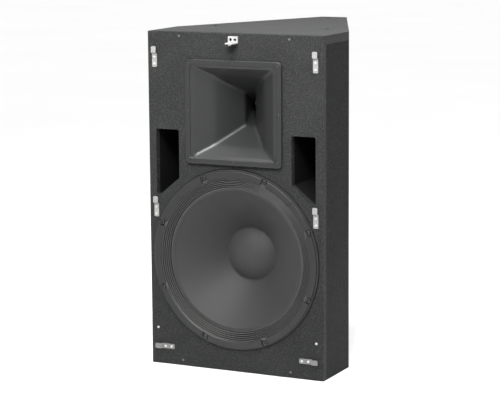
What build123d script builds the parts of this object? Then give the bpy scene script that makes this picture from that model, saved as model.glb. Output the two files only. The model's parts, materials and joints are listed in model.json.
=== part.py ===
from build123d import *
from math import cos, hypot, radians, sin, sqrt
import os

# A two-way PA speaker cabinet with its grille off. Millimetres.
# X runs to the right as the listener sees it, Y runs from the listener to the back, Z is up.
# The origin is the middle of the underside. "depth" is always measured back from the baffle's face.

# ---- driving dimensions: cabinet ----
WIDTH = 410.0
HEIGHT = 726.0
DEPTH = 524.0
STRAIGHT_DEPTH = 134.0
BACK_WIDTH = 62.0
WALL = 15.0
DECK = 18.0  # top and bottom panels
FRONT_Y = -DEPTH / 2
BACK_Y = DEPTH / 2

# ---- driving dimensions: woofer ----
WOOFER_Z = 243.5
RIM_R = 195.0
RIM_THICK = 7.0
RIM_PROUD = 3.0
RECESS_R = 196.5
CUTOUT_R = 179.0
THROAT_R = 177.0  # inside of the rim
WOOFER_SCREW_R = 187.0
WOOFER_SCREWS = 8
CONE_EDGE_R = 154.5
CONE_EDGE_DEPTH = 4.0
CAP_R = 57.0
CAP_DEPTH = 80.5
CAP_RISE = 21.0
COIL_R = 51.0
FRAME_BACK_R = 114.0  # outside of the basket's back ring
LEDGE_DEPTH = 100.0
PLATE_DEPTH = 118.0  # front of the magnet's top plate
PLATE_THICK = 10.0
MAGNET_THICK = 22.0

# ---- driving dimensions: horn ----
HORN_Z = 558.5
FLANGE_W, FLANGE_H, FLANGE_PROUD = 225.6, 222.4, 8.0
MOUTH_W, MOUTH_H = 202.0, 198.0
BREAK_W, BREAK_H, BREAK_DEPTH = 118.0, 148.0, 21.0
SLOT_W, SLOT_H, SLOT_DEPTH = 24.0, 72.0, 79.0
EXIT_R, EXIT_DEPTH = 17.5, 126.0
HORN_WALL = 5.0

# ---- driving dimensions: ports and hardware ----
PORT_IN, PORT_OUT = 132.5, 187.8
PORT_TOP, PORT_KNEE, PORT_TIP = 516.7, 412.7, 373.8
PORT_TIP_IN = 180.0
DUCT_WALL, DUCT_LENGTH = 9.0, 100.0
BRACE_Z = 358.0
CLIP_X = 188.5
CLIP_FEET_Z = (325.5, 649.5)  # lower ends of the upright clips
LOW_CLIP_X, LOW_CLIP_Z = 149.5, 39.5
CLIP_W, CLIP_LENGTH, CLIP_FOOT, CLIP_STEP, CLIP_GAUGE = 11.0, 44.5, 29.0, 5.0, 1.5
CLIP_HOLES = (6.6, 21.4)
BRACKET_Z = 705.0
FLY_XY = ((-134.0, FRONT_Y + 178.0), (134.0, FRONT_Y + 178.0), (0.0, FRONT_Y + 487.0))
FLY_R, FLY_BORE = 10.0, 5.0


def facing(depth, x=0.0, z=0.0):
    """A sketch plane that faces the listener, depth behind the baffle's face."""
    return Plane(origin=(x, FRONT_Y + depth, z), x_dir=(1, 0, 0), z_dir=(0, -1, 0))


def turning(z):
    """A sketch plane for turned parts: local x is the radius and local y the depth."""
    return Plane(origin=(0, FRONT_Y, z))


def axle(z):
    """The line along Y that a turned part is revolved about."""
    return Axis((0, FRONT_Y, z), (0, 1, 0))


def save(piece, name):
    piece.label = name
    export_step(piece, f"parts/{name}.step")


# ---- cabinet plan: outer corners and the same corners one wall further in ----
TAPER_RUN = hypot((WIDTH - BACK_WIDTH) / 2, DEPTH - STRAIGHT_DEPTH)
TAPER_NX = (DEPTH - STRAIGHT_DEPTH) / TAPER_RUN
TAPER_NY = (WIDTH - BACK_WIDTH) / 2 / TAPER_RUN


def taper_x(y, inset):
    """Half width of the tapered part at y, with its side moved in by inset."""
    knee_y = FRONT_Y + STRAIGHT_DEPTH
    return (TAPER_NX * WIDTH / 2 - inset - TAPER_NY * (y - knee_y)) / TAPER_NX


def taper_y(x, inset):
    """Where the tapered side, moved in by inset, is x from the middle."""
    knee_y = FRONT_Y + STRAIGHT_DEPTH
    return knee_y + (TAPER_NX * (WIDTH / 2 - x) - inset) / TAPER_NY


def half_plan(inset, front_y):
    """The right half of the plan: front, knee and back corners."""
    side_x = WIDTH / 2 - inset
    back_y = BACK_Y - inset
    return [(side_x, front_y), (side_x, taper_y(side_x, inset)), (taper_x(back_y, inset), back_y)]


def full_plan(inset, front_y):
    right = half_plan(inset, front_y)
    return right + [(-x, y) for x, y in reversed(right)]


def polygon(points, mode=Mode.ADD):
    """A closed face through the points, for use inside a BuildSketch."""
    Polygon(*points, align=None, mode=mode)


def deck(name, low_z):
    """The top or bottom panel, with its fly-point holes."""
    with BuildPart() as panel:
        with BuildSketch(Plane.XY.offset(low_z)):
            polygon(full_plan(0, FRONT_Y + WALL))
            with Locations(*FLY_XY):
                Circle(FLY_R, mode=Mode.SUBTRACT)
        extrude(amount=DECK)
    save(panel.part, name)


def fly_inserts():
    """Threaded steel sleeves through both decks, each with a flange inside the cabinet."""
    flange = 3.0
    with BuildPart() as inserts:
        for sleeve_z, flange_z in ((0, DECK), (HEIGHT - DECK, HEIGHT - DECK - flange)):
            with BuildSketch(Plane.XY.offset(sleeve_z)):
                with Locations(*FLY_XY):
                    Circle(FLY_R)
                    Circle(FLY_BORE, mode=Mode.SUBTRACT)
            extrude(amount=DECK)
            with BuildSketch(Plane.XY.offset(flange_z)):
                with Locations(*FLY_XY):
                    Circle(FLY_R + 7)
                    Circle(FLY_BORE, mode=Mode.SUBTRACT)
            extrude(amount=flange)
    save(inserts.part, "fly_inserts")


def wall_panel(name, corners):
    """An upright panel between the decks, from its plan corners."""
    with BuildPart() as panel:
        with BuildSketch(Plane.XY.offset(DECK)):
            polygon(corners)
        extrude(amount=HEIGHT - 2 * DECK)
    save(panel.part, name)


def side_walls():
    outer = half_plan(0, FRONT_Y + WALL)
    inner = half_plan(WALL, FRONT_Y + WALL)
    for side, sign in (("right", 1), ("left", -1)):
        straight = [outer[0], outer[1], inner[1], inner[0]]
        angled = [outer[1], outer[2], inner[2], inner[1]]
        wall_panel(f"side_panel_{side}", [(sign * x, y) for x, y in straight])
        wall_panel(f"angled_panel_{side}", [(sign * x, y) for x, y in angled])
    return outer[2][0], inner[2][0]


# ---- back panel and input plate ----
INPUT_Z = 300.0
PLATE_W, PLATE_H, INPUT_PLATE_T = 54.0, 132.0, 2.0
INPUT_CUT_W, INPUT_CUT_H = 34.0, 92.0
SOCKET_PITCH = 46.0
SOCKET_R, SOCKET_BORE, SOCKET_LONG = 12.0, 10.6, 24.0
PLATE_SCREWS = [(x, z) for x in (-22.0, 22.0) for z in (-60.0, 0.0, 60.0)]


def rearward(depth, z=0.0):
    """A sketch plane that faces away from the back panel, depth inside its outer face."""
    return Plane(origin=(0, BACK_Y - depth, z), x_dir=(-1, 0, 0), z_dir=(0, 1, 0))


def back_panel(outer_x, inner_x):
    with BuildPart() as panel:
        with BuildSketch(Plane.XY.offset(DECK)):
            inner_y = BACK_Y - WALL
            polygon([(-outer_x, BACK_Y), (outer_x, BACK_Y), (inner_x, inner_y), (-inner_x, inner_y)])
        extrude(amount=HEIGHT - 2 * DECK)
        with BuildSketch(rearward(0, INPUT_Z)):
            RectangleRounded(INPUT_CUT_W, INPUT_CUT_H, 3)
        extrude(amount=-WALL, mode=Mode.SUBTRACT)
        with BuildSketch(rearward(0, INPUT_Z)):
            with Locations(*PLATE_SCREWS):
                Circle(1.5)
        extrude(amount=-8, mode=Mode.SUBTRACT)
    save(panel.part, "back_panel")


def input_plate():
    with BuildPart() as plate:
        with BuildSketch(rearward(0, INPUT_Z)):
            RectangleRounded(PLATE_W, PLATE_H, 4)
            with Locations((0, SOCKET_PITCH / 2), (0, -SOCKET_PITCH / 2)):
                Circle(SOCKET_R + 0.2, mode=Mode.SUBTRACT)
            with Locations(*PLATE_SCREWS):
                Circle(1.7, mode=Mode.SUBTRACT)
        extrude(amount=INPUT_PLATE_T)
        chamfer(plate.faces().sort_by(Axis.Y)[-1].outer_wire().edges(), 0.6)
    save(plate.part, "input_plate")
    with BuildPart() as screws:
        for x, z in PLATE_SCREWS:
            with BuildSketch(rearward(-INPUT_PLATE_T, INPUT_Z)):
                with Locations((x, z)):
                    Circle(3.2)
            extrude(amount=1.8)
            with BuildSketch(rearward(-INPUT_PLATE_T, INPUT_Z)):
                with Locations((x, z)):
                    Circle(1.5)
            extrude(amount=-INPUT_PLATE_T - 8)
    save(screws.part, "input_plate_screws")


def socket(name, z):
    """A four-pole round chassis socket: square flange, cup and central spigot with four keyways."""
    with BuildPart() as body:
        with BuildSketch(rearward(-INPUT_PLATE_T, z)):
            RectangleRounded(30, 31, 3)
        extrude(amount=1.8)
        fillet(body.faces().sort_by(Axis.Y)[-1].outer_wire().edges(), 0.8)
        with BuildSketch(rearward(-INPUT_PLATE_T, z)):
            Circle(SOCKET_R)
        extrude(amount=-SOCKET_LONG)
        with BuildSketch(rearward(-INPUT_PLATE_T - 1.8, z)):
            Circle(SOCKET_BORE)
        extrude(amount=-(SOCKET_LONG - 1.2), mode=Mode.SUBTRACT)
        with BuildSketch(rearward(SOCKET_LONG - 5, z)):
            Circle(5.0)
            with PolarLocations(5.0, 4, start_angle=45):
                Rectangle(1.6, 2.4, mode=Mode.SUBTRACT)
        extrude(amount=SOCKET_LONG - 6)
    save(body.part, name)


# ---- baffle ----
def port_outline(grow=0.0):
    """Corners of the right-hand port, clockwise from its top inner corner."""
    return [
        (PORT_IN - grow, PORT_TOP + grow),
        (PORT_OUT, PORT_TOP + grow),
        (PORT_OUT, PORT_TIP - grow),
        (PORT_TIP_IN - grow * 0.35, PORT_TIP - grow),
        (PORT_IN - grow, PORT_KNEE - grow * 0.45),
    ]


def horn_screw_places():
    corner_x, corner_z, side_x, side_z = 103.8, 101.6, 106.6, 104.9
    corners = [(sx * corner_x, sz * corner_z) for sx in (-1, 1) for sz in (-1, 1)]
    return corners + [(side_x, 0), (-side_x, 0), (0, side_z), (0, -side_z)]


def upright_clips():
    return [(side * CLIP_X, foot) for foot in CLIP_FEET_Z for side in (-1, 1)]


def clip_screw_places():
    """Screw centres of all six clips, as (x, z)."""
    upright = [(x, foot + step) for x, foot in upright_clips() for step in CLIP_HOLES]
    lying = [(side * (LOW_CLIP_X + step), LOW_CLIP_Z) for side in (-1, 1) for step in CLIP_HOLES]
    return upright + lying


SCREW_R = 1.6
BARE_SCREWS = [(-189.0, 80.0), (189.0, 80.0)]
EDGE_SCREWS = [(x, z) for x in (-129.0, 129.0) for z in (12.0, HEIGHT - 9.0)]
BRACKET_HOLES = [(-5.2, 713.0), (5.2, 713.0)]


def woofer_screw_angles():
    return [22.5 + 45 * k for k in range(WOOFER_SCREWS)]


def baffle():
    with BuildPart() as panel:
        with BuildSketch(facing(WALL, z=HEIGHT / 2)):
            Rectangle(WIDTH, HEIGHT)
        extrude(amount=WALL)
        fillet(panel.faces().sort_by(Axis.Y)[0].outer_wire().edges(), 1.5)
        with BuildSketch(facing(0, z=WOOFER_Z)):
            Circle(RECESS_R)
        extrude(amount=-(RIM_THICK - RIM_PROUD), mode=Mode.SUBTRACT)
        with BuildSketch(facing(0, z=WOOFER_Z)):
            Circle(CUTOUT_R)
            with PolarLocations(WOOFER_SCREW_R, WOOFER_SCREWS, start_angle=22.5):
                Circle(4.0)
        extrude(amount=-WALL, mode=Mode.SUBTRACT)
        with BuildSketch(facing(0, z=HORN_Z)):
            RectangleRounded(199, 196, 6)
        extrude(amount=-WALL, mode=Mode.SUBTRACT)
        with BuildSketch(facing(0)) as ports:
            polygon(port_outline())
            fillet(ports.vertices(), 4.5)
            mirror(about=Plane.YZ)
        extrude(amount=-WALL, mode=Mode.SUBTRACT)
        with BuildSketch(facing(0)):
            horn_screws_at = [(x, HORN_Z + z) for x, z in horn_screw_places()]
            with Locations(*clip_screw_places(), *BARE_SCREWS, *EDGE_SCREWS, *horn_screws_at):
                Circle(SCREW_R)
            with Locations(*BRACKET_HOLES):
                Circle(3.2)
        extrude(amount=-WALL, mode=Mode.SUBTRACT)
    save(panel.part, "front_baffle")


def port_ducts():
    """A four-sided tube behind each port; its outer side is a thin liner on the side panel."""
    liner_x = WIDTH / 2 - WALL
    for side, sign in (("right", 1), ("left", -1)):
        with BuildPart() as duct:
            with BuildSketch(facing(WALL)):
                polygon([(sign * (liner_x if x == PORT_OUT else x), z) for x, z in port_outline(DUCT_WALL)])
                polygon([(sign * x, z) for x, z in port_outline()], mode=Mode.SUBTRACT)
            extrude(amount=-DUCT_LENGTH)
        save(duct.part, f"port_duct_{side}")


def brace():
    """A plank from wall to wall, just behind and above the woofer's magnet."""
    front_y, back_y = FRONT_Y + 125.0, FRONT_Y + 185.0
    knee = half_plan(WALL, front_y)[:2]
    right = knee + [(taper_x(back_y, WALL), back_y)]
    with BuildPart() as shelf:
        with BuildSketch(Plane.XY.offset(BRACE_Z)):
            polygon(right + [(-x, y) for x, y in reversed(right)])
        extrude(amount=WALL)
    save(shelf.part, "internal_brace")


# ---- woofer ----
def turned(profile, z):
    """Revolves a closed outline of (radius, depth) points about the driver's own line."""
    with BuildPart() as body:
        with BuildSketch(turning(z)):
            polygon(profile)
        revolve(axis=axle(z))
    return body.part


def tube(inner, outer, front, back, z):
    return turned([(inner, front), (outer, front), (outer, back), (inner, back)], z)


def woofer_frame():
    seat = RIM_THICK - RIM_PROUD
    profile = [
        (THROAT_R, -RIM_PROUD), (RIM_R, -RIM_PROUD), (RIM_R, seat), (THROAT_R + 1.4, seat),
        (THROAT_R + 1.4, 13), (FRAME_BACK_R, 104), (FRAME_BACK_R, PLATE_DEPTH), (84, PLATE_DEPTH),
        (84, LEDGE_DEPTH), (109, LEDGE_DEPTH), (THROAT_R - 3.5, 11), (THROAT_R, 4),
    ]
    with BuildPart() as frame:
        with BuildSketch(turning(WOOFER_Z)):
            polygon(profile)
        revolve(axis=axle(WOOFER_Z))
        # eight windows leave eight spokes, one behind each screw
        with BuildSketch(facing(18, z=WOOFER_Z)) as windows:
            inner, outer, half = 119.0, 168.0, radians(14.5)
            corners = [(inner * cos(half), -inner * sin(half)), (outer * cos(half), -outer * sin(half))]
            corners += [(x, -y) for x, y in reversed(corners)]
            with PolarLocations(0, WOOFER_SCREWS):
                polygon(corners)
            fillet(windows.vertices(), 6)
        extrude(amount=-84, mode=Mode.SUBTRACT)
        with BuildSketch(facing(-RIM_PROUD, z=WOOFER_Z)):
            with PolarLocations(WOOFER_SCREW_R, WOOFER_SCREWS, start_angle=22.5):
                Circle(6.6)
        extrude(amount=-2, mode=Mode.SUBTRACT)
        with BuildSketch(facing(-RIM_PROUD, z=WOOFER_Z)):
            with PolarLocations(WOOFER_SCREW_R, WOOFER_SCREWS, start_angle=22.5):
                Circle(3.3)
        extrude(amount=-RIM_THICK, mode=Mode.SUBTRACT)
    save(frame.part, "woofer_frame")


GASKET_R, GASKET_FRONT = 191.5, -7.0
FLANGE_EDGE_R, CLOTH = 181.5, 0.7


def gasket_ring():
    """Trim ring in four arcs, notched round the screw heads."""
    under = -RIM_PROUD
    profile = [
        (THROAT_R - 0.6, GASKET_FRONT + 1.5), (THROAT_R + 0.9, GASKET_FRONT), (GASKET_R - 0.8, GASKET_FRONT),
        (GASKET_R, GASKET_FRONT + 0.8), (GASKET_R, under), (FLANGE_EDGE_R + 0.2, under),
        (FLANGE_EDGE_R + 0.2, under - CLOTH), (THROAT_R - 0.6, under - CLOTH),
    ]
    with BuildPart() as ring:
        with BuildSketch(turning(WOOFER_Z)):
            polygon(profile)
        revolve(axis=axle(WOOFER_Z))
        with BuildSketch(facing(GASKET_FRONT, z=WOOFER_Z)):
            with PolarLocations(WOOFER_SCREW_R, WOOFER_SCREWS, start_angle=22.5):
                SlotCenterToCenter(30, 14)
            with PolarLocations(GASKET_R - 7, 4, start_angle=45):
                Rectangle(30, 0.7)
        extrude(amount=GASKET_FRONT, mode=Mode.SUBTRACT)
    save(ring.part, "woofer_gasket")


def roll_profile(start_r, end_r, depth_start, depth_end, rolls, height):
    """Points along a wave of half rolls, as (radius, depth) with an arc's middle between each two."""
    nodes = []
    steps = 2 * rolls
    for k in range(steps + 1):
        share = k / steps
        nodes.append((start_r + (end_r - start_r) * share, depth_start + (depth_end - depth_start) * share))
    crests = []
    for k in range(steps):
        (r0, d0), (r1, d1) = nodes[k], nodes[k + 1]
        crests.append(((r0 + r1) / 2, (d0 + d1) / 2 + (-height if k % 2 == 0 else height)))
    return nodes, crests


def pleated_ring(name, z, start, end, rolls, height, thick, start_flat, end_flat):
    """A cloth ring of concentric rolls with a flat band at each edge."""
    nodes, crests = roll_profile(start[0], end[0], start[1], end[1], rolls, height)
    with BuildPart() as ring:
        with BuildSketch(turning(z)):
            with BuildLine():
                front_first = (start[0] + start_flat, start[1])
                front_last = (end[0] - end_flat, end[1])
                Line(front_first, nodes[0])
                for k, crest in enumerate(crests):
                    ThreePointArc(nodes[k], crest, nodes[k + 1])
                Line(nodes[-1], front_last)
                Line(front_last, (front_last[0], front_last[1] + thick))
                Line((front_last[0], front_last[1] + thick), (nodes[-1][0], nodes[-1][1] + thick))
                for k in reversed(range(len(crests))):
                    back = [(r, d + thick) for r, d in (nodes[k + 1], crests[k], nodes[k])]
                    ThreePointArc(*back)
                Line((nodes[0][0], nodes[0][1] + thick), (front_first[0], front_first[1] + thick))
                Line((front_first[0], front_first[1] + thick), front_first)
            make_face()
        revolve(axis=axle(z))
    save(ring.part, name)


def cone():
    """Paper cone: a flat lip for the cloth, then a gently curved wall down to the coil."""
    thick = 1.2
    lip = (CONE_EDGE_R, CONE_EDGE_DEPTH)
    foot = (148.5, CONE_EDGE_DEPTH)
    neck = (COIL_R, 88.0)
    mid = (100.0, 41.5)
    with BuildPart() as body:
        with BuildSketch(turning(WOOFER_Z)):
            with BuildLine():
                Line(lip, foot)
                ThreePointArc(foot, mid, neck)
                back_foot = (foot[0] - 0.4, foot[1] + thick)
                back_neck = (neck[0], neck[1] + 2.0)
                Line(neck, back_neck)
                ThreePointArc(back_neck, (mid[0] - 0.9, mid[1] + 1.2), back_foot)
                Line(back_foot, (lip[0], lip[1] + thick))
                Line((lip[0], lip[1] + thick), lip)
            make_face()
        revolve(axis=axle(WOOFER_Z))
    save(body.part, "woofer_cone")


def cap_arc(rim_r, rim_depth, rise):
    """Rim, middle and crown of a spherical cap's section; a negative rise bulges towards the listener."""
    ball_r = (rim_r ** 2 + rise ** 2) / (2 * abs(rise))
    mid_r = rim_r / 2
    fall = ball_r - sqrt(ball_r ** 2 - mid_r ** 2)
    crown = rim_depth + rise
    return [(rim_r, rim_depth), (mid_r, crown - fall * rise / abs(rise)), (0, crown)]


def dome(name, z, rim_r, rim_depth, rise, thick):
    """A thin domed cap as one turned shell."""
    outer = cap_arc(rim_r, rim_depth, rise)
    inner = cap_arc(rim_r - thick, rim_depth, rise - thick * rise / abs(rise))
    with BuildPart() as body:
        with BuildSketch(turning(z)):
            with BuildLine():
                ThreePointArc(*outer)
                Line(outer[2], inner[2])
                ThreePointArc(*reversed(inner))
                Line(inner[0], outer[0])
            make_face()
        revolve(axis=axle(z))
    save(body.part, name)


def voice_coil():
    save(tube(COIL_R - 0.5, COIL_R, 90.2, 130, WOOFER_Z), "voice_coil_former")
    save(tube(COIL_R, COIL_R + 1.0, 112, 130, WOOFER_Z), "voice_coil_winding")


def woofer_motor():
    plate_back = PLATE_DEPTH + PLATE_THICK
    magnet_back = plate_back + MAGNET_THICK
    save(tube(COIL_R + 2.4, 104, PLATE_DEPTH, plate_back, WOOFER_Z), "woofer_top_plate")
    save(tube(66, 110, plate_back, magnet_back, WOOFER_Z), "woofer_magnet")
    pole = turned(
        [(16, PLATE_DEPTH), (COIL_R - 2, PLATE_DEPTH), (COIL_R - 2, magnet_back), (104, magnet_back),
         (104, magnet_back + 8), (98, magnet_back + 14), (16, magnet_back + 14)], WOOFER_Z)
    save(pole, "woofer_back_plate")


def woofer_fixings():
    head_front, seat = -5.6, -1.0
    with BuildPart() as screws:
        with BuildSketch(facing(seat, z=WOOFER_Z)):
            with PolarLocations(WOOFER_SCREW_R, WOOFER_SCREWS, start_angle=22.5):
                Circle(5.0)
        extrude(amount=seat - head_front)
        fillet(screws.faces().group_by(Axis.Y)[0].edges(), 0.9)
        with BuildSketch(facing(seat, z=WOOFER_Z)):
            with PolarLocations(WOOFER_SCREW_R, WOOFER_SCREWS, start_angle=22.5):
                Circle(2.9)
        extrude(amount=-22)
        with BuildSketch(facing(head_front, z=WOOFER_Z)):
            with PolarLocations(WOOFER_SCREW_R, WOOFER_SCREWS, start_angle=22.5):
                RegularPolygon(2.6, 6)
        extrude(amount=-2.6, mode=Mode.SUBTRACT)
    save(screws.part, "woofer_screws")
    with BuildPart() as nuts:
        with BuildSketch(facing(6, z=WOOFER_Z)):
            with PolarLocations(WOOFER_SCREW_R, WOOFER_SCREWS, start_angle=22.5):
                Circle(4.0)
        extrude(amount=-(WALL - 6))
        with BuildSketch(facing(WALL, z=WOOFER_Z)):
            with PolarLocations(WOOFER_SCREW_R, WOOFER_SCREWS, start_angle=22.5):
                Circle(8.0)
        extrude(amount=-1.5)
        with BuildSketch(facing(6, z=WOOFER_Z)):
            with PolarLocations(WOOFER_SCREW_R, WOOFER_SCREWS, start_angle=22.5):
                Circle(2.95)
        extrude(amount=-12, mode=Mode.SUBTRACT)
    save(nuts.part, "woofer_tee_nuts")


TERMINAL_DEPTH, TERMINAL_TOP = 111.0, WOOFER_Z + 130.0


def woofer_terminals():
    """Two push terminals on a block that sits on the basket's back ring."""
    with BuildPart() as block:
        with BuildSketch(Plane(origin=(0, FRONT_Y + TERMINAL_DEPTH, TERMINAL_TOP - 19))):
            Rectangle(46, 12)
        extrude(amount=10)
        with BuildSketch(Plane(origin=(0, FRONT_Y + TERMINAL_DEPTH, TERMINAL_TOP - 9))):
            with Locations((-13, 0), (13, 0)):
                Circle(4.5)
        extrude(amount=9)
        fillet(block.faces().sort_by(Axis.Z)[-2:].edges(), 1.2)
        with BuildSketch(facing(LEDGE_DEPTH, z=WOOFER_Z)):
            Circle(FRAME_BACK_R + 0.02)
        extrude(amount=-20, mode=Mode.SUBTRACT)
    save(block.part, "woofer_terminals")


# ---- horn ----
def section(depth, width, height, radius):
    """One rounded rectangle of the horn, as a section to loft through."""
    with BuildSketch(facing(depth, z=HORN_Z)) as outline:
        RectangleRounded(width, height, radius)
    return outline.sketch


def horn_flare():
    """Flange and flare in one moulding, with a slot throat that opens to a round exit."""
    grow = 2 * HORN_WALL
    with BuildPart() as flare:
        round_w = 2 * EXIT_R + grow
        outside = [
            section(0, 194, 191, 6),
            section(BREAK_DEPTH + 2, BREAK_W + grow, BREAK_H + grow, 8),
            section(SLOT_DEPTH, SLOT_W + grow, SLOT_H + grow, 8),
            section(EXIT_DEPTH - 8, round_w, round_w, round_w / 2 - 0.1),
        ]
        for near, far in zip(outside, outside[1:]):
            loft([near, far], ruled=True)
        with BuildSketch(facing(EXIT_DEPTH, z=HORN_Z)):
            Circle(58)
        extrude(amount=8)
        with BuildSketch(facing(0, z=HORN_Z)):
            RectangleRounded(FLANGE_W, FLANGE_H, 9)
        extrude(amount=FLANGE_PROUD)
        fillet(flare.faces().sort_by(Axis.Y)[0].outer_wire().edges(), 2.0)
        inside = [
            section(-FLANGE_PROUD, MOUTH_W, MOUTH_H, 5),
            section(BREAK_DEPTH, BREAK_W, BREAK_H, 5),
            section(SLOT_DEPTH, SLOT_W, SLOT_H, 5),
            section(EXIT_DEPTH, 2 * EXIT_R, 2 * EXIT_R, EXIT_R - 0.1),
        ]
        for near, far in zip(inside, inside[1:]):
            loft([near, far], ruled=True, mode=Mode.SUBTRACT)
        with BuildSketch(facing(-FLANGE_PROUD, z=HORN_Z)):
            with Locations(*horn_screw_places()):
                Circle(3.6)
        extrude(amount=-1.2, mode=Mode.SUBTRACT)
        with BuildSketch(facing(-FLANGE_PROUD, z=HORN_Z)):
            with Locations(*horn_screw_places()):
                Circle(2.0)
        extrude(amount=-FLANGE_PROUD, mode=Mode.SUBTRACT)
        with BuildSketch(facing(EXIT_DEPTH, z=HORN_Z)):
            with PolarLocations(50.8, 4, start_angle=45):
                Circle(3.2)
        extrude(amount=8, mode=Mode.SUBTRACT)
    save(flare.part, "horn_flare")


def horn_screws():
    with BuildPart() as screws:
        with BuildSketch(facing(-FLANGE_PROUD + 1.2, z=HORN_Z)):
            with Locations(*horn_screw_places()):
                Circle(3.2)
        extrude(amount=1.6)
        fillet(screws.faces().group_by(Axis.Y)[0].edges(), 0.7)
        with BuildSketch(facing(-FLANGE_PROUD + 1.2, z=HORN_Z)):
            with Locations(*horn_screw_places()):
                Circle(1.6)
        extrude(amount=-19)
    save(screws.part, "horn_screws")


HF_POLE_R, HF_GAP_R, HF_MAGNET_R = 36.4, 39.6, 66.0
HF_PLATE, HF_MAGNET, HF_TOP = 10.0, 22.0, 8.0
HF_DOME_R = 38.0


def compression_driver():
    """From the horn back: front plate with pole, magnet, top plate, phase plug, diaphragm, cover."""
    plate_back = EXIT_DEPTH + HF_PLATE
    magnet_back = plate_back + HF_MAGNET
    top_back = magnet_back + HF_TOP
    with BuildPart() as pole:
        with BuildSketch(turning(HORN_Z)):
            polygon([(EXIT_R, EXIT_DEPTH), (62, EXIT_DEPTH), (62, plate_back), (HF_POLE_R, plate_back),
                     (HF_POLE_R, top_back - 1.5), (30, top_back - 1.5)])
        revolve(axis=axle(HORN_Z))
        with BuildSketch(facing(EXIT_DEPTH, z=HORN_Z)):
            with PolarLocations(50.8, 4, start_angle=45):
                Circle(3.0)
        extrude(amount=-HF_PLATE, mode=Mode.SUBTRACT)
    save(pole.part, "hf_front_plate")
    save(tube(46, HF_MAGNET_R, plate_back, magnet_back, HORN_Z), "hf_magnet")
    save(tube(HF_GAP_R, 62, magnet_back, top_back, HORN_Z), "hf_top_plate")
    with BuildPart() as plug:
        with BuildSketch(turning(HORN_Z)):
            with BuildLine():
                tip = (0, EXIT_DEPTH + 6)
                crown = cap_arc(26.5, top_back - 1.2, 8)
                Line(tip, crown[0])
                ThreePointArc(*crown)
                Line(crown[2], tip)
            make_face()
        revolve(axis=axle(HORN_Z))
        with BuildSketch(facing(top_back - 4, z=HORN_Z)):
            with PolarLocations(23.5, 3):
                Rectangle(8.5, 2.5)
        extrude(amount=2.6)
    save(plug.part, "hf_phase_plug")
    dome("hf_diaphragm", HORN_Z, HF_DOME_R, top_back + 2.2, 11.5, 0.6)
    save(tube(HF_DOME_R - 0.6, HF_DOME_R, top_back - 6.5, top_back + 2.2, HORN_Z), "hf_voice_coil")
    film_depth = top_back + 2.2
    pleated_ring("hf_suspension", HORN_Z, (46.0, film_depth), (38.6, film_depth), 1, 0.7, 0.3, 3.0, 0.4)
    save(tube(46.6, 60, top_back, top_back + 2.2, HORN_Z), "hf_diaphragm_ring")
    with BuildPart() as cover:
        with BuildSketch(turning(HORN_Z)):
            polygon([(50, top_back + 2.6), (61, top_back + 2.6), (61, top_back + 18), (52, top_back + 25),
                     (0, top_back + 25), (0, top_back + 21), (50, top_back + 21)])
        revolve(axis=axle(HORN_Z))
    save(cover.part, "hf_rear_cover")
    with BuildPart() as bolts:
        with BuildSketch(facing(EXIT_DEPTH - 8, z=HORN_Z)):
            with PolarLocations(50.8, 4, start_angle=45):
                RegularPolygon(5.0, 6)
        extrude(amount=4)
        with BuildSketch(facing(EXIT_DEPTH - 8, z=HORN_Z)):
            with PolarLocations(50.8, 4, start_angle=45):
                Circle(2.95)
        extrude(amount=-17)
    save(bolts.part, "hf_driver_bolts")


# ---- grille hardware ----
def clip(name, foot, along):
    """A joggled strip: its foot lies on the baffle and its tab stands one step forward."""
    outward = Vector(0, -1, 0)
    origin = Vector(*foot)
    side_view = Plane(origin=origin, x_dir=along, z_dir=along.cross(outward))
    front_view = Plane(origin=origin, x_dir=along, z_dir=outward)
    rise_start, rise_end = CLIP_FOOT, CLIP_FOOT + 2.6
    with BuildPart() as strip:
        with BuildSketch(side_view):
            polygon([(0, 0), (rise_start, 0), (rise_end, CLIP_STEP), (CLIP_LENGTH, CLIP_STEP),
                     (CLIP_LENGTH, CLIP_STEP + CLIP_GAUGE), (rise_end - 0.7, CLIP_STEP + CLIP_GAUGE),
                     (rise_start - 0.7, CLIP_GAUGE), (0, CLIP_GAUGE)])
        extrude(amount=CLIP_W / 2, both=True)
        with BuildSketch(front_view):
            with Locations((CLIP_LENGTH / 2, 0)):
                RectangleRounded(CLIP_LENGTH, CLIP_W, 2.6)
        extrude(amount=CLIP_STEP + CLIP_GAUGE, mode=Mode.INTERSECT)
        with BuildSketch(front_view):
            with Locations(*[(step, 0) for step in CLIP_HOLES]):
                Circle(1.9)
        extrude(amount=CLIP_GAUGE, mode=Mode.SUBTRACT)
    save(strip.part, name)


def clips():
    rows = ("middle", "upper")
    for index, (x, z) in enumerate(upright_clips()):
        side = "left" if x < 0 else "right"
        clip(f"grille_clip_{rows[index // 2]}_{side}", (x, FRONT_Y, z), Vector(0, 0, 1))
    for side, sign in (("left", -1), ("right", 1)):
        clip(f"grille_clip_lower_{side}", (sign * LOW_CLIP_X, FRONT_Y, LOW_CLIP_Z), Vector(sign, 0, 0))


def pan_screws(name, groups, head_r, head, shank):
    """Round-headed screws; each group is a list of (x, z) and how far proud of the baffle it seats."""
    with BuildPart() as screws:
        for places, proud in groups:
            with BuildSketch(facing(-proud)):
                with Locations(*places):
                    Circle(head_r)
            extrude(amount=head)
            fillet(screws.faces().filter_by(Axis.Y).filter_by_position(
                Axis.Y, FRONT_Y - proud - head - 0.01, FRONT_Y - proud - head + 0.01).edges(), head * 0.45)
            with BuildSketch(facing(-proud)):
                with Locations(*places):
                    Circle(SCREW_R)
            extrude(amount=-shank)
    save(screws.part, name)


def grille_screws():
    pan_screws("grille_screws", [(clip_screw_places(), CLIP_GAUGE), (BARE_SCREWS, 0)], 2.7, 1.6, 13)


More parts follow.
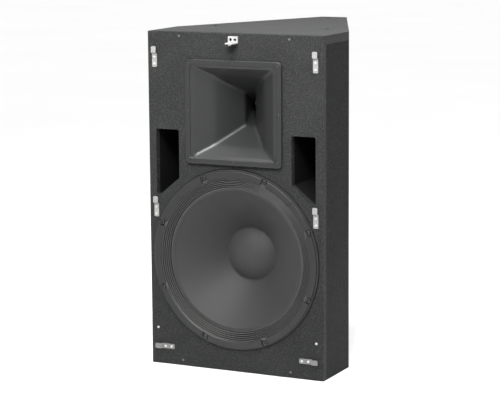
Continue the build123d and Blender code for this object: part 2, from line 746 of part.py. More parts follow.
def top_bracket():
    """An angle bracket: a drilled plate on the baffle and a ledge that reaches forward under the grille."""
    reach, gauge, half = 28.0, 2.0, 11.0
    plate_front = 4.0
    with BuildPart() as bracket:
        with BuildSketch(facing(0, z=BRACKET_Z + 7.5)):
            RectangleRounded(2 * half, 15, 1.2)
        extrude(amount=plate_front)
        with BuildSketch(Plane.XY.offset(BRACKET_Z)):
            polygon([(-half, FRONT_Y), (half, FRONT_Y), (9, FRONT_Y - reach), (-6, FRONT_Y - reach),
                     (-11.5, FRONT_Y - reach + 11)])
        extrude(amount=gauge)
        with BuildSketch(Plane.XY.offset(BRACKET_Z)):
            with Locations((2, FRONT_Y - reach + 6)):
                Circle(3.4)
        extrude(amount=-3.2)
        with BuildSketch(facing(0)):
            with Locations(*BRACKET_HOLES):
                Circle(3.2)
        extrude(amount=plate_front, mode=Mode.SUBTRACT)
    save(bracket.part, "top_bracket")


# ---- crossover and cables ----
BOARD_Y, BOARD_W, BOARD_L, BOARD_Z = FRONT_Y + 355.0, 100.0, 130.0, DECK + 10.0
STANDOFFS = [(x, BOARD_Y + y) for x in (-44.0, 44.0) for y in (-59.0, 59.0)]


def crossover():
    board_top = BOARD_Z + 2.0
    with BuildPart() as board:
        with BuildSketch(Plane.XY.offset(BOARD_Z)):
            with Locations((0, BOARD_Y)):
                RectangleRounded(BOARD_W, BOARD_L, 3)
            with Locations(*STANDOFFS):
                Circle(1.8, mode=Mode.SUBTRACT)
        extrude(amount=2.0)
    save(board.part, "crossover_board")
    with BuildPart() as posts:
        with BuildSketch(Plane.XY.offset(DECK)):
            with Locations(*STANDOFFS):
                Circle(4)
        extrude(amount=BOARD_Z - DECK)
        with BuildSketch(Plane.XY.offset(BOARD_Z)):
            with Locations(*STANDOFFS):
                Circle(1.7)
        extrude(amount=3)
        with BuildSketch(Plane.XY.offset(board_top)):
            with Locations(*STANDOFFS):
                Circle(3.2)
        extrude(amount=2)
    save(posts.part, "crossover_standoffs")
    with BuildPart() as coils:
        for x, y, radius, height in ((-22, -30, 22, 24), (24, -34, 18, 20)):
            with BuildSketch(Plane.XY.offset(board_top)):
                with Locations((x, BOARD_Y + y)):
                    Circle(radius)
                    Circle(radius * 0.45, mode=Mode.SUBTRACT)
            extrude(amount=height)
    save(coils.part, "crossover_inductors")
    with BuildPart() as cans:
        for x in (-34, -14):
            with BuildSketch(Plane.XZ.offset(-(BOARD_Y + 2))):
                with Locations((x, board_top + 8.6)):
                    Circle(8.5)
            extrude(amount=-40)
        with BuildSketch(Plane.XY.offset(board_top)):
            with Locations((8, BOARD_Y + 10)):
                Circle(8)
        extrude(amount=28)
    save(cans.part, "crossover_capacitors")
    with BuildPart() as blocks:
        for y in (4, 20, 36):
            with BuildSketch(Plane.XY.offset(board_top)):
                with Locations((32, BOARD_Y + y)):
                    Rectangle(22, 10)
            extrude(amount=9)
    save(blocks.part, "crossover_resistors")


CABLE_R = 3.0


def cable(name, route, radii):
    """A two-core cable along straight runs joined by arcs."""
    with BuildPart() as lead:
        with BuildLine() as path:
            FilletPolyline(*route, radius=radii)
        with BuildSketch(Plane(origin=path.line @ 0, z_dir=path.line % 0)):
            Circle(CABLE_R)
        sweep()
    save(lead.part, name)


def cables():
    board_top = BOARD_Z + 2.3
    rear = BOARD_Y + BOARD_L / 2
    low_socket_z = INPUT_Z - SOCKET_PITCH / 2
    cable("input_cable", [
        (0, BACK_Y - SOCKET_LONG - 2, low_socket_z), (0, BACK_Y - 46, low_socket_z),
        (0, BACK_Y - 56, INPUT_Z - 90), (0, rear - 8, 90), (0, rear - 8, board_top)], [8, 40, 30])
    cable("woofer_cable", [
        (46, BOARD_Y + 52, board_top), (46, BOARD_Y + 52, 110), (70, BOARD_Y - 60, 200),
        (60, FRONT_Y + 212, WOOFER_Z + 160), (13, FRONT_Y + 150, WOOFER_Z + 160),
        (13, FRONT_Y + TERMINAL_DEPTH, WOOFER_Z + 160),
        (13, FRONT_Y + TERMINAL_DEPTH, TERMINAL_TOP + 0.3)], [25, 40, 30, 15, 14])
    cable("horn_cable", [
        (-46, BOARD_Y + 52, board_top), (-46, BOARD_Y + 52, 120), (-46, BOARD_Y - 40, 300),
        (-40, BOARD_Y - 60, 500), (-10, FRONT_Y + 235, HORN_Z), (-10, FRONT_Y + 191, HORN_Z)],
        [25, 60, 60, 16])


# ---- lining ----
PAD_THICK = 20.0


def lining():
    """A wadding pad on the inner face of each angled panel."""
    clear = 0.6
    start, end = FRONT_Y + 190.0, FRONT_Y + 420.0
    corners = [(start, clear), (end, clear), (end, clear + PAD_THICK), (start, clear + PAD_THICK)]
    with BuildPart() as pads:
        with BuildSketch(Plane.XY.offset(470)):
            for sign in (-1, 1):
                polygon([(sign * taper_x(y, WALL + inset), y) for y, inset in corners])
        extrude(amount=210)
        fillet(pads.edges().filter_by(Axis.Z), 5)
    save(pads.part, "lining_pads")


def build():
    os.makedirs("parts", exist_ok=True)
    deck("top_panel", HEIGHT - DECK)
    deck("bottom_panel", 0)
    fly_inserts()
    outer_x, inner_x = side_walls()
    back_panel(outer_x, inner_x)
    input_plate()
    socket("input_socket_upper", INPUT_Z + SOCKET_PITCH / 2)
    socket("input_socket_lower", INPUT_Z - SOCKET_PITCH / 2)
    baffle()
    port_ducts()
    brace()
    lining()
    woofer_frame()
    gasket_ring()
    cloth_start = (THROAT_R - 1.2, -RIM_PROUD - CLOTH)
    cloth_end = (CONE_EDGE_R, CONE_EDGE_DEPTH - CLOTH)
    flat_band = FLANGE_EDGE_R - cloth_start[0]
    pleated_ring("woofer_surround", WOOFER_Z, cloth_start, cloth_end, 3, 1.3, CLOTH, flat_band, 5.5)
    cone()
    dome("woofer_dust_cap", WOOFER_Z, CAP_R, CAP_DEPTH, -CAP_RISE, 0.8)
    spider_start, spider_end = (81.0, LEDGE_DEPTH - 0.6), (COIL_R + 1.5, LEDGE_DEPTH - 0.6)
    pleated_ring("woofer_spider", WOOFER_Z, spider_start, spider_end, 5, 1.0, 0.6, 20.0, 1.5)
    voice_coil()
    woofer_motor()
    woofer_fixings()
    woofer_terminals()
    horn_flare()
    horn_screws()
    compression_driver()
    clips()
    grille_screws()
    pan_screws("baffle_screws", [(EDGE_SCREWS, 0)], 2.4, 0.6, WALL)
    top_bracket()
    crossover()
    cables()


build()
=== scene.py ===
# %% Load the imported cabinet
import json
import math
import bmesh
import bpy
from mathutils import Matrix, Vector, noise


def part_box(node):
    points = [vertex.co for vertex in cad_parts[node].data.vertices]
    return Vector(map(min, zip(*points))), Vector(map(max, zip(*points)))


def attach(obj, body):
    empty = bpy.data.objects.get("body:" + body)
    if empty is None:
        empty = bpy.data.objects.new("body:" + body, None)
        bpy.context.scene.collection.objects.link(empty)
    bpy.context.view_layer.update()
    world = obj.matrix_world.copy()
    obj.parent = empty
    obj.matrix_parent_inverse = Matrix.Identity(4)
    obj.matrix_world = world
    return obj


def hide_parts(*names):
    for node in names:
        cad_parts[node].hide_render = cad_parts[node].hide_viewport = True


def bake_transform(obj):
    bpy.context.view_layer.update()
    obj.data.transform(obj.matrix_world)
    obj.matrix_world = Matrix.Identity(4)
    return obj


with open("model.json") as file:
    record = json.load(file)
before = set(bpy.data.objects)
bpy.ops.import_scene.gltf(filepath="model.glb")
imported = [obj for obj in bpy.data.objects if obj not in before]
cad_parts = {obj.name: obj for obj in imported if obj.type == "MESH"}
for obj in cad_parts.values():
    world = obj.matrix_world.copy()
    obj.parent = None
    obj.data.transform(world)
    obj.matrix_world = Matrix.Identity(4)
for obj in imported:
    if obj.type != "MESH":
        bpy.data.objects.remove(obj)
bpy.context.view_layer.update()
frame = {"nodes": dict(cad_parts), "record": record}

nodes = frame["nodes"]

# %% [markdown]
# Camera and light
#
# A loudspeaker this size is usually seen from a few metres away with a long lens, so its edges stay nearly
# parallel. The camera is placed and turned to look along one direction. Tracking a target with a
# constraint would work too, but a plain rotation is easier to read back, and it cannot drift when the
# target moves.

# %% Camera
TURN, TILT, ROLL = math.radians(26.281), math.radians(9.418), math.radians(-0.421)
looking = Vector((-math.sin(TURN) * math.cos(TILT), math.cos(TURN) * math.cos(TILT), -math.sin(TILT)))
camera_data = bpy.data.cameras.new("studio_camera")
camera_data.lens = 138.6
camera_data.sensor_width = 36
camera_data.clip_end = 200
camera = bpy.data.objects.new("studio_camera", camera_data)
camera.location = (1.8093, -3.8531, 1.0402)
camera.rotation_mode = "QUATERNION"
camera.rotation_quaternion = looking.to_track_quat("-Z", "Y") @ Matrix.Rotation(ROLL, 4, "Z").to_quaternion()
bpy.context.scene.collection.objects.link(camera)
bpy.context.scene.camera = camera
print("camera looks along", [round(v, 3) for v in looking])

# %% [markdown]
# The light is a studio's: even daylight from straight above, a soft panel over the front of the box, so that
# the top is the brightest face and the baffle fades towards the floor, a faint panel high in front for the
# horn's ridges, one beside the box for its flank, and a dim surround that fills the shadows. A small hard
# lamp would print sharp shadows into the horn and the ports, which soft light avoids.


# %% Lights
def soft_panel(name, place, target, width, height, power, spread):
    """An area lamp at place, turned to target; spread is its beam's full angle in degrees."""
    data = bpy.data.lights.new(name, "AREA")
    data.shape = "RECTANGLE"
    data.size, data.size_y, data.energy = width, height, power
    data.spread = math.radians(spread)
    lamp = bpy.data.objects.new(name, data)
    lamp.location = place
    lamp.rotation_euler = (Vector(target) - Vector(place)).to_track_quat("-Z", "Y").to_euler()
    bpy.context.scene.collection.objects.link(lamp)


soft_panel("overhead_panel", (0.1, -1.0, 1.55), (0, -0.2, 0.76), 1.5, 0.8, 8.5, 70)
soft_panel("diagonal_panel", (1.1, -2.6, 2.5), (0, -0.26, 0.5), 0.6, 0.6, 3.0, 36)
soft_panel("side_panel", (1.25, -0.3, 1.35), (0.2, -0.05, 0.68), 0.5, 0.5, 2.4, 80)
sun_data = bpy.data.lights.new("even_daylight", "SUN")
sun_data.energy, sun_data.angle = 2.7, math.radians(50)
sun = bpy.data.objects.new("even_daylight", sun_data)
bpy.context.scene.collection.objects.link(sun)
world = bpy.data.worlds.new("studio_air")
world.use_nodes = True
world.node_tree.nodes["Background"].inputs["Color"].default_value = (1, 1, 1, 1)
world.node_tree.nodes["Background"].inputs["Strength"].default_value = 0.3
bpy.context.scene.world = world
bpy.context.scene.view_settings.view_transform = "Standard"

# %% [markdown]
# Shader sums
#
# A finish is mostly arithmetic: this grain plus that grain, times a depth. Wiring Math nodes by hand hides
# the sum, so a small class wraps an output socket and turns Python's own operators into Math nodes. Another
# way is a node group per finish, but a group's inside cannot be read beside the code that uses it.


# %% A socket that can be added and multiplied
class Wire:
    def __init__(self, finish, socket):
        self.finish, self.socket = finish, socket

    def math(self, operation, first, second=0.0):
        return self.finish.node("ShaderNodeMath", {"operation": operation}, {0: first, 1: second})

    def sine(self):
        return self.math("SINE", self)

    def beside(self, name):
        """Another output of the same node."""
        return Wire(self.finish, self.socket.node.outputs[name])

    def __add__(self, other):
        return self.math("ADD", self, other)

    def __sub__(self, other):
        return self.math("SUBTRACT", self, other)

    def __rsub__(self, other):
        return self.math("SUBTRACT", other, self)

    def __mul__(self, other):
        return self.math("MULTIPLY", self, other)

    def __truediv__(self, other):
        return self.math("DIVIDE", self, other)

    __radd__ = __add__
    __rmul__ = __mul__


# %% A finish: one material with its nodes
class Finish:
    def __init__(self, name, **fixed):
        self.material = bpy.data.materials.new(name)
        self.material.use_nodes = True
        self.tree = self.material.node_tree
        self.shader = self.tree.nodes["Principled BSDF"]
        self.place = self.node("ShaderNodeTexCoord", output="Object")
        for socket, value in fixed.items():
            self.shader.inputs[socket.replace("_", " ")].default_value = value

    def node(self, kind, settings=None, sockets=None, output=0):
        made = self.tree.nodes.new(kind)
        for key, value in (settings or {}).items():
            setattr(made, key, value)
        for key, value in (sockets or {}).items():
            if isinstance(value, Wire):
                self.tree.links.new(value.socket, made.inputs[key])
            else:
                made.inputs[key].default_value = value
        return Wire(self, made.outputs[output])

    def vector(self, operation, first, second=(0, 0, 0), output=0):
        return self.node("ShaderNodeVectorMath", {"operation": operation}, {0: first, 1: second}, output)

    def along(self, axis, where=None):
        """One coordinate of the place on the object, or of another vector."""
        return self.node("ShaderNodeSeparateXYZ", sockets={0: where or self.place}, output=axis)

    def stretched(self, x, y, z):
        """The place on the object, scaled by a different amount along each axis."""
        return self.vector("MULTIPLY", self.place, (x, y, z))

    def grain(self, size, detail=2.0, where=None):
        """Soft noise from 0 to 1, with features about this many metres across."""
        sockets = {"Vector": where or self.place, "Scale": 1 / size, "Detail": detail}
        return self.node("ShaderNodeTexNoise", sockets=sockets)

    def specks(self, size, where=None):
        """Distance to the nearest of many scattered points, in cells of this size."""
        return self.node("ShaderNodeTexVoronoi", sockets={"Vector": where or self.place, "Scale": 1 / size})

    def steps(self, value, low, high):
        """Value spread so that low becomes 0 and high becomes 1, and held there."""
        return self.node("ShaderNodeMapRange", sockets={0: value, 1: low, 2: high})

    def blend(self, share, first, second):
        colours = {0: share, 6: first, 7: second}
        return self.node("ShaderNodeMix", {"data_type": "RGBA"}, colours, output=2)

    def apply(self, color=None, roughness=None, height=None, depth=0.0002, strength=1.0, metallic=None):
        normal = None
        if height is not None:
            bump = {"Height": height, "Distance": depth, "Strength": strength}
            normal = self.node("ShaderNodeBump", sockets=bump)
        feeds = {"Base Color": color, "Roughness": roughness, "Normal": normal, "Metallic": metallic}
        for key, wire in feeds.items():
            if wire is not None:
                self.tree.links.new(wire.socket, self.shader.inputs[key])
        return self.material


def grey(shade, warmth=0.0):
    """A grey, a touch warmer or cooler."""
    return (shade * (1 + warmth), shade, shade * (1 - warmth), 1)


def toned(color, share):
    """The same colour, darker or lighter."""
    return tuple(min(1.0, c * share) for c in color[:3]) + (1,)


# %% [markdown]
# Textured paint
#
# The box is wood sprayed with a tough paint that dries into small hard beads. Real beads catch the light one
# by one, so the finish needs three sizes: a bead of about 3 mm in the bump, a finer grain on top of it,
# and slow patches a hand wide that break up the roughness. Scattered beads are also painted paler in the
# colour, as painted glints. Displacing the mesh would give the same beads but needs millions of faces on flat
# panels, so a bump is the better tool here.


# %% Paint for the baffle and the box
def textured_paint(name, shade, bead, depth, painted_glint, gloss, edge=1.0):
    """Beaded paint, with scattered beads painted paler as painted glints; edge is how bright the upright
    faces are beside the lying ones, a painted shade on the upright faces.
    """
    paint = Finish(name, Specular_IOR_Level=gloss)
    distance = paint.specks(bead)
    chance = distance.beside("Color")
    domes = 1 - paint.steps(distance, 0.05, 0.65)
    lumps = paint.grain(bead * 1.3, 3.0)
    fine = paint.grain(bead * 0.3, 2.0)
    patches = paint.grain(0.09, 3.0)
    height = domes * 0.7 + lumps * 0.35 + fine * 0.2
    # painted glints: scattered beads are painted paler, standing in for light caught by glossy beads
    bright = paint.steps(chance, 0.45, 0.95) * paint.steps(domes, 0.2, 0.9)
    uneven = paint.steps(patches * 0.25 + lumps * 0.75, 0.3, 0.7)
    base = paint.blend(uneven, grey(shade * 0.55, -0.015), grey(shade * 1.3, -0.015))
    color = paint.blend(bright * painted_glint, base, grey(shade * 5, -0.01))
    # painted shade: upright faces are darkened beside the lying ones, so only the face that looks up stays
    # pale
    if edge < 1:
        facing = paint.node("ShaderNodeNewGeometry", output="Normal")
        lying = paint.steps(paint.along("Z", facing), 0.3, 0.8)
        color = paint.blend(lying, paint.blend(edge, (0, 0, 0, 1), color), color)
    return paint.apply(color, 0.40 + patches * 0.16 + fine * 0.1, height, depth)


baffle_paint = textured_paint("baffle_paint", 0.030, 0.0028, 0.0010, 0.8, 0.05)
# the box paint, darkened: painted shade on the flanks, back and bottom
side_paint_painted_shade = textured_paint("side_paint_painted_shade", 0.0120, 0.0030, 0.0009, 0.9, 0.05)
# the box paint again, paler: painted light on the lid from the lamps above
lid_paint_painted_light = textured_paint("lid_paint_painted_light", 0.045, 0.0026, 0.0005, 0.4, 0.3, 0.26)
print("paints", baffle_paint.name, side_paint_painted_shade.name, lid_paint_painted_light.name)

# %% [markdown]
# Moulded plastic and cast coatings
#
# The horn, the trim ring, the sockets and the small clips of the wiring are moulded. Moulded plastic is never
# flat in tone: it has a fine spark-eroded grain, faint flow clouds and a roughness that wanders. One function
# makes all of them, with the colour, gloss and grain as its arguments.


# %% Moulded finishes
def moulded(name, color, roughness, grain_size=0.0006, depth=0.00004, cloud=0.12, **fixed):
    plastic = Finish(name, **fixed)
    clouds = plastic.grain(0.045, 4.0)
    fine = plastic.grain(grain_size, 2.0)
    scuffs = plastic.grain(0.004, 5.0, plastic.stretched(1.0, 0.35, 0.5))
    shade = plastic.blend(clouds * 0.7 + fine * 0.3, toned(color, 1 - cloud), toned(color, 1 + cloud))
    return plastic.apply(shade, roughness - 0.06 + scuffs * 0.12 + clouds * 0.05, fine + scuffs * 0.4, depth)


horn_plastic = moulded("horn_plastic", grey(0.018, -0.02), 0.33, 0.0007, 0.00005)
gasket_plastic = moulded("gasket_plastic", grey(0.015, -0.02), 0.44, 0.0009, 0.00010)
# the port ducts are black, and this black is darker still: painted shade down the inside of the tubes
port_black = moulded("port_black", grey(0.0065), 0.8, 0.0015, 0.0001, Specular_IOR_Level=0.1)
socket_plastic = moulded("socket_plastic", grey(0.022), 0.3)
plug_resin = moulded("plug_resin", grey(0.03), 0.5)
basket_coat = moulded("basket_coat", grey(0.022), 0.55, 0.0012, 0.00012)
plate_coat = moulded("plate_coat", grey(0.024), 0.5, 0.0008, 0.0001)
ceramic = moulded("ceramic", (0.72, 0.7, 0.65, 1), 0.75, 0.0011, 0.00012, 0.06)
capacitor_wrap = moulded("capacitor_wrap", (0.62, 0.44, 0.08, 1), 0.28, 0.002, 0.00003, 0.08)
cable_jacket = moulded("cable_jacket", grey(0.02), 0.55, 0.0012, 0.00008)
ferrite = moulded("ferrite", grey(0.05, 0.04), 0.62, 0.0009, 0.00012, 0.2)
print("moulded finishes made")

# %% [markdown]
# Metal
#
# Zinc plate, blackened screws, plated steel and the thin dome are all metal with a skin. What tells them
# apart is the scratch pattern: plated strip is rolled, so its marks run one way. The noise is stretched along
# one axis, which is cheaper than an anisotropic shader and survives baking.


# %% Metal finishes
def plated(name, color, roughness, along=(1, 1, 1), spots=0.25, metallic=1.0):
    metal = Finish(name, Metallic=metallic)
    rolled = metal.grain(0.0012, 3.0, metal.stretched(*along))
    bloom = metal.grain(0.006, 4.0)
    pits = metal.steps(metal.specks(0.0022), 0.0, 0.4)
    shade = metal.blend(bloom * 0.75 + rolled * 0.25, toned(color, 1 - spots), color)
    return metal.apply(shade, roughness + bloom * 0.18 - 0.09, rolled + pits * 0.3, 0.00006)


zinc_upright = plated("zinc_upright", (0.40, 0.40, 0.39, 1), 0.44, (1, 1, 0.12), 0.35, 0.3)
# the clips' zinc again, darker: painted shade on the lower clips
zinc_lying_painted_shade = plated("zinc_lying_painted_shade", (0.24, 0.24, 0.235, 1), 0.46, (0.12, 1, 1), 0.4, 0.3)
zinc_bracket = plated("zinc_bracket", (0.50, 0.50, 0.49, 1), 0.42, (0.2, 1, 1), 0.25, 0.3)
bright_screw = plated("bright_screw", (0.62, 0.62, 0.61, 1), 0.3, metallic=0.4)
dull_screw = plated("dull_screw", (0.16, 0.16, 0.165, 1), 0.5, metallic=0.5)
black_screw = plated("black_screw", (0.10, 0.10, 0.105, 1), 0.42)
dark_insert = plated("dark_insert", (0.05, 0.05, 0.052, 1), 0.5)
plated_steel = plated("plated_steel", (0.55, 0.55, 0.54, 1), 0.38)
dome_sheet = plated("dome_sheet", (0.78, 0.79, 0.8, 1), 0.25, spots=0.08)
print("metal finishes made")

# %% [markdown]
# Paper, cloth and wire
#
# The cone is pressed paper pulp with a dark coat: short fibres lie in every direction and the coat pools
# between them. The rolls round its edge are woven cloth, stiffened with resin. The weave is two sets of
# threads at right angles, and each thread is a sine across its width. A wave texture would draw stripes as
# well, but plain sines keep both sets exactly in step so that they can pass over and under. The crests of the
# rolls are painted paler, a painted highlight along each ridge, so one more sine, of the distance from the
# driver's line, says where the crests are.


# %% Paper for the cone and the cap
def pressed_paper(name, shade, roughness, fibre, depth):
    paper = Finish(name, Specular_IOR_Level=0.32, Sheen_Weight=0.05, Sheen_Roughness=0.5)
    across = paper.grain(fibre, 3.0, paper.stretched(1.0, 1.0, 0.22))
    upright = paper.grain(fibre, 3.0, paper.stretched(0.22, 1.0, 1.0))
    pools = paper.grain(0.012, 4.0)
    fibres = across * 0.5 + upright * 0.5
    color = paper.blend(fibres * 0.6 + pools * 0.4, grey(shade * 0.72), grey(shade * 1.3))
    return paper.apply(color, roughness + pools * 0.16 - 0.08, fibres + pools * 0.6, depth)


cone_paper = pressed_paper("cone_paper", 0.028, 0.60, 0.0013, 0.00030)
cap_paper = pressed_paper("cap_paper", 0.034, 0.62, 0.0010, 0.00022)


# %% Woven cloth for the roll and the spider
def woven(name, color, pitch, roughness, resin, depth, crests=None):
    """Two sets of threads; crests is (centre height, outer radius, roll pitch, shade of the painted highlight
    on the crests).
    """
    cloth = Finish(name, Specular_IOR_Level=0.8, Sheen_Weight=0.15, Sheen_Roughness=0.4)
    turn = math.pi / pitch
    warp = (cloth.along("X") * turn).sine()
    weft = (cloth.along("Z") * turn).sine()
    over = warp * weft
    fuzz = cloth.grain(pitch * 0.5, 2.0)
    pools = cloth.grain(0.014, 3.0)
    threads = (warp * warp) * 0.5 + (weft * weft) * 0.5 + over * 0.3
    shade = cloth.blend(cloth.steps(threads + fuzz * 0.4, 0.1, 1.2), toned(color, 0.55), toned(color, 1.5))
    if crests:
        centre_z, outer_r, roll_pitch, crest_highlight_shade = crests
        centred = cloth.vector("SUBTRACT", cloth.place, (0, 0, centre_z))
        in_plane = cloth.vector("MULTIPLY", centred, (1, 0, 1))
        radius = cloth.vector("LENGTH", in_plane, output="Value")
        phase = (outer_r - radius) * (2 * math.pi / roll_pitch)
        crest = cloth.steps(phase.sine(), 0.45, 1.0)
        # painted highlight: the crest of each roll is painted paler
        shade = cloth.blend(crest * (0.6 + fuzz * 0.6), shade, grey(crest_highlight_shade))
    return cloth.apply(shade, roughness - resin * pools + fuzz * 0.08, threads + fuzz * 0.5, depth)


woofer_low, woofer_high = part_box("woofer_frame")
WOOFER_Z = (woofer_low.z + woofer_high.z) / 2
ROLL_OUTER, ROLL_INNER, ROLLS = 0.1758, 0.1562, 5
# shade of the painted highlight on the roll crests
CREST_PAINTED_HIGHLIGHT = 0.13
roll_crests = (WOOFER_Z, ROLL_OUTER, (ROLL_OUTER - ROLL_INNER) / ROLLS, CREST_PAINTED_HIGHLIGHT)
surround_cloth = woven("surround_cloth", grey(0.007), 0.0009, 0.33, 0.10, 0.00004, roll_crests)
spider_cloth = woven("spider_cloth", (0.42, 0.28, 0.12, 1), 0.0008, 0.6, 0.2, 0.0002)
print("cloths", surround_cloth.name, spider_cloth.name)


# %% Wire, film, board and wadding
def wound(name, color, pitch, direction):
    wire = Finish(name, Metallic=0.85)
    run = wire.along(direction)
    strand = run.math("PINGPONG", run, pitch / 2) / pitch
    tint = wire.grain(0.003, 3.0)
    shade = wire.blend(wire.steps(strand, 0.0, 0.3), toned(color, 0.45), color)
    return wire.apply(shade, 0.3 + tint * 0.2, strand, 0.0003)


def layered_board(name):
    board = Finish(name)
    chips = board.specks(0.0035, board.stretched(1.0, 1.0, 0.5))
    dust = board.grain(0.0012, 4.0)
    color = board.blend(chips * 0.6 + dust * 0.4, (0.36, 0.24, 0.13, 1), (0.62, 0.47, 0.29, 1))
    return board.apply(color, 0.7 + dust * 0.2, chips + dust, 0.0003)


def fibre_wadding(name):
    pad = Finish(name, Sheen_Weight=0.4)
    tufts = pad.grain(0.006, 6.0)
    strands = pad.grain(0.0015, 5.0, pad.stretched(1.0, 0.3, 0.3))
    color = pad.blend(tufts, (0.028, 0.028, 0.027, 1), (0.085, 0.084, 0.081, 1))
    return pad.apply(color, 0.9 + tufts * 0.08, tufts + strands * 0.6, 0.0012)


def etched_board(name):
    board = Finish(name)
    tracks = board.node("ShaderNodeTexBrick", sockets={"Vector": board.place, "Scale": 70.0}, output="Fac")
    grain = board.grain(0.001, 2.0)
    color = board.blend(tracks, (0.015, 0.09, 0.04, 1), (0.05, 0.2, 0.08, 1))
    return board.apply(color, 0.35 + grain * 0.15, tracks + grain * 0.1, 0.0001)


COPPER = (0.75, 0.34, 0.14, 1)
copper_ring = wound("copper_ring", COPPER, 0.0004, "Y")
copper_coil = wound("copper_coil", COPPER, 0.0012, "Z")
former_film = moulded("former_film", (0.4, 0.2, 0.05, 1), 0.25)
bare_board = layered_board("bare_board")
wadding = fibre_wadding("wadding")
circuit_board = etched_board("circuit_board")
print("inner finishes made")

# %% [markdown]
# Finishes on the fitted parts
#
# Every part that keeps its fitted shape gets its finish here. The record names a slot for each part, so one
# table from slot to finish covers the cabinet, and the few parts that need their own are named apart.

# %% Slots to finishes
FINISHES = {
    "painted_baffle": baffle_paint, "painted_box": side_paint_painted_shade, "bare_board": bare_board, "wadding": wadding,
    "port_black": port_black,
    "horn_plastic": horn_plastic, "gasket_plastic": gasket_plastic, "cone_paper": cone_paper,
    "cap_paper": cap_paper, "surround_cloth": surround_cloth, "spider_cloth": spider_cloth,
    "basket_metal": basket_coat, "zinc_plate": zinc_upright, "black_screw": black_screw,
    "dark_insert": dark_insert, "plated_steel": plated_steel, "ferrite": ferrite, "plate_black": plate_coat,
    "socket_plastic": socket_plastic, "former_film": former_film, "copper": copper_ring,
    "dome_metal": dome_sheet, "plug_resin": plug_resin, "circuit_board": circuit_board,
    "capacitor_film": capacitor_wrap, "ceramic": ceramic, "cable_jacket": cable_jacket,
}
OWN_FINISHES = {
    "grille_clip_lower_left": zinc_lying_painted_shade, "grille_clip_lower_right": zinc_lying_painted_shade,
    "top_bracket": zinc_bracket, "grille_screws": bright_screw, "baffle_screws": dull_screw,
    "top_panel": lid_paint_painted_light, "hf_front_plate": plate_coat, "crossover_inductors": copper_coil,
}
for part in frame["record"]["subparts"]:
    finish = OWN_FINISHES.get(part["node"], FINISHES[part["material_slot"]])
    mesh = nodes[part["node"]].data
    mesh.materials.clear()
    mesh.materials.append(finish)

# %% [markdown]
# Eased edges
#
# No sprayed or sheared edge is perfectly sharp: a bead of light runs along it. A Bevel modifier rounds every
# edge above an angle without touching the fitted mesh. It also opens the hairline joints between the panels.


# %% Bevels
def ease(names, width, segments=2, angle=30):
    for name in names:
        bevel = nodes[name].modifiers.new("eased_edges", "BEVEL")
        bevel.width, bevel.segments = width, segments
        bevel.limit_method, bevel.angle_limit = "ANGLE", math.radians(angle)
        bevel.harden_normals = True


PANELS = ("top_panel", "bottom_panel", "side_panel_left", "side_panel_right", "angled_panel_left",
          "angled_panel_right", "back_panel")
ease(PANELS, 0.0012)
print("eased", len(PANELS), "panels")

# %% [markdown]
# Turned pieces
#
# The woofer is made of rings, so most of its pieces are one outline spun about a line. Blender's Screw
# modifier spins an outline too, but a mesh built ring by ring can stop part way round, and the soft pieces
# need that: a ring of cloth that is glued to the basket at its rim and to the cone inside has to bend
# between two bodies, and a bend runs along one straight line. Cut into slices, each slice has its own line.


# %% Spinning an outline
def finish_mesh(name, verts, faces, material, smooth_angle=35):
    mesh = bpy.data.meshes.new(name)
    mesh.from_pydata(verts, [], faces)
    mesh.materials.append(material)
    shape = bmesh.new()
    shape.from_mesh(mesh)
    bmesh.ops.recalc_face_normals(shape, faces=shape.faces)
    shape.to_mesh(mesh)
    shape.free()
    mesh.shade_smooth()
    mesh.set_sharp_from_angle(angle=math.radians(smooth_angle))
    piece = bpy.data.objects.new(name, mesh)
    bpy.context.scene.collection.objects.link(piece)
    return piece


def band_faces(near, far, count):
    """Four-sided faces between two closed loops of count points, whose first points are near and far."""
    return [(near + k, near + (k + 1) % count, far + (k + 1) % count, far + k) for k in range(count)]


FACE_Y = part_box("front_baffle")[0].y


def spun(name, outline, z, material, steps=256, begin=0.0, turn=2 * math.pi, smooth_angle=35):
    """Spins a closed outline of (radius, depth) in metres about the driver's own line."""
    whole = turn > 6.28
    rings = steps if whole else steps + 1
    verts = []
    for step in range(rings):
        angle = begin + turn * step / steps
        across, up = math.cos(angle), math.sin(angle)
        verts += [(r * across, FACE_Y + d, z + r * up) for r, d in outline]
    count = len(outline)
    faces = []
    for step in range(steps):
        faces += band_faces(step * count, (step + 1) % rings * count, count)
    if not whole:
        faces += [tuple(range(count)), tuple(range(len(verts) - count, len(verts)))]
    return finish_mesh(name, verts, faces, material, smooth_angle)


print("woofer line at z =", round(WOOFER_Z, 4), "baffle face at y =", FACE_Y)


# %% [markdown]
# The rolled cloth edge
#
# Five small rolls of resin-stiffened cloth let the cone travel. Each roll is one wave of a sine in the
# outline. The slices share their end points, so they close up into one ring.
# The spider, which centres the coil behind the cone, is made in the same way.


# %% Rolled rings in slices
def wavy_outline(outer, inner, rolls, height, thick, outer_flat, inner_flat):
    """Front and back of a rolled ring; outer and inner are (radius, depth) where the rolls begin and end."""
    front = [(outer[0] + outer_flat, outer[1])]
    samples = rolls * 16
    for k in range(samples + 1):
        share = k / samples
        wave = math.sin(share * rolls * 2 * math.pi)
        radius = outer[0] + (inner[0] - outer[0]) * share
        front.append((radius, outer[1] + (inner[1] - outer[1]) * share - height * wave))
    front.append((inner[0] - inner_flat, inner[1]))
    return front + [(r, d + thick) for r, d in reversed(front)]


def sliced_ring(name, outline, material, node, slices):
    """A rolled ring cut into slices, each a wedge of the ring from the basket to the cone."""
    made = []
    for k in range(slices):
        middle = 2 * math.pi * (k + 0.5) / slices
        slice_turn = 2 * math.pi / slices
        begin = middle - slice_turn / 2
        piece = spun(f"{name}_{k:02d}", outline, WOOFER_Z, material, 12, begin, slice_turn, 60)
        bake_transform(piece)
        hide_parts(node)
        made.append(piece)
    return made


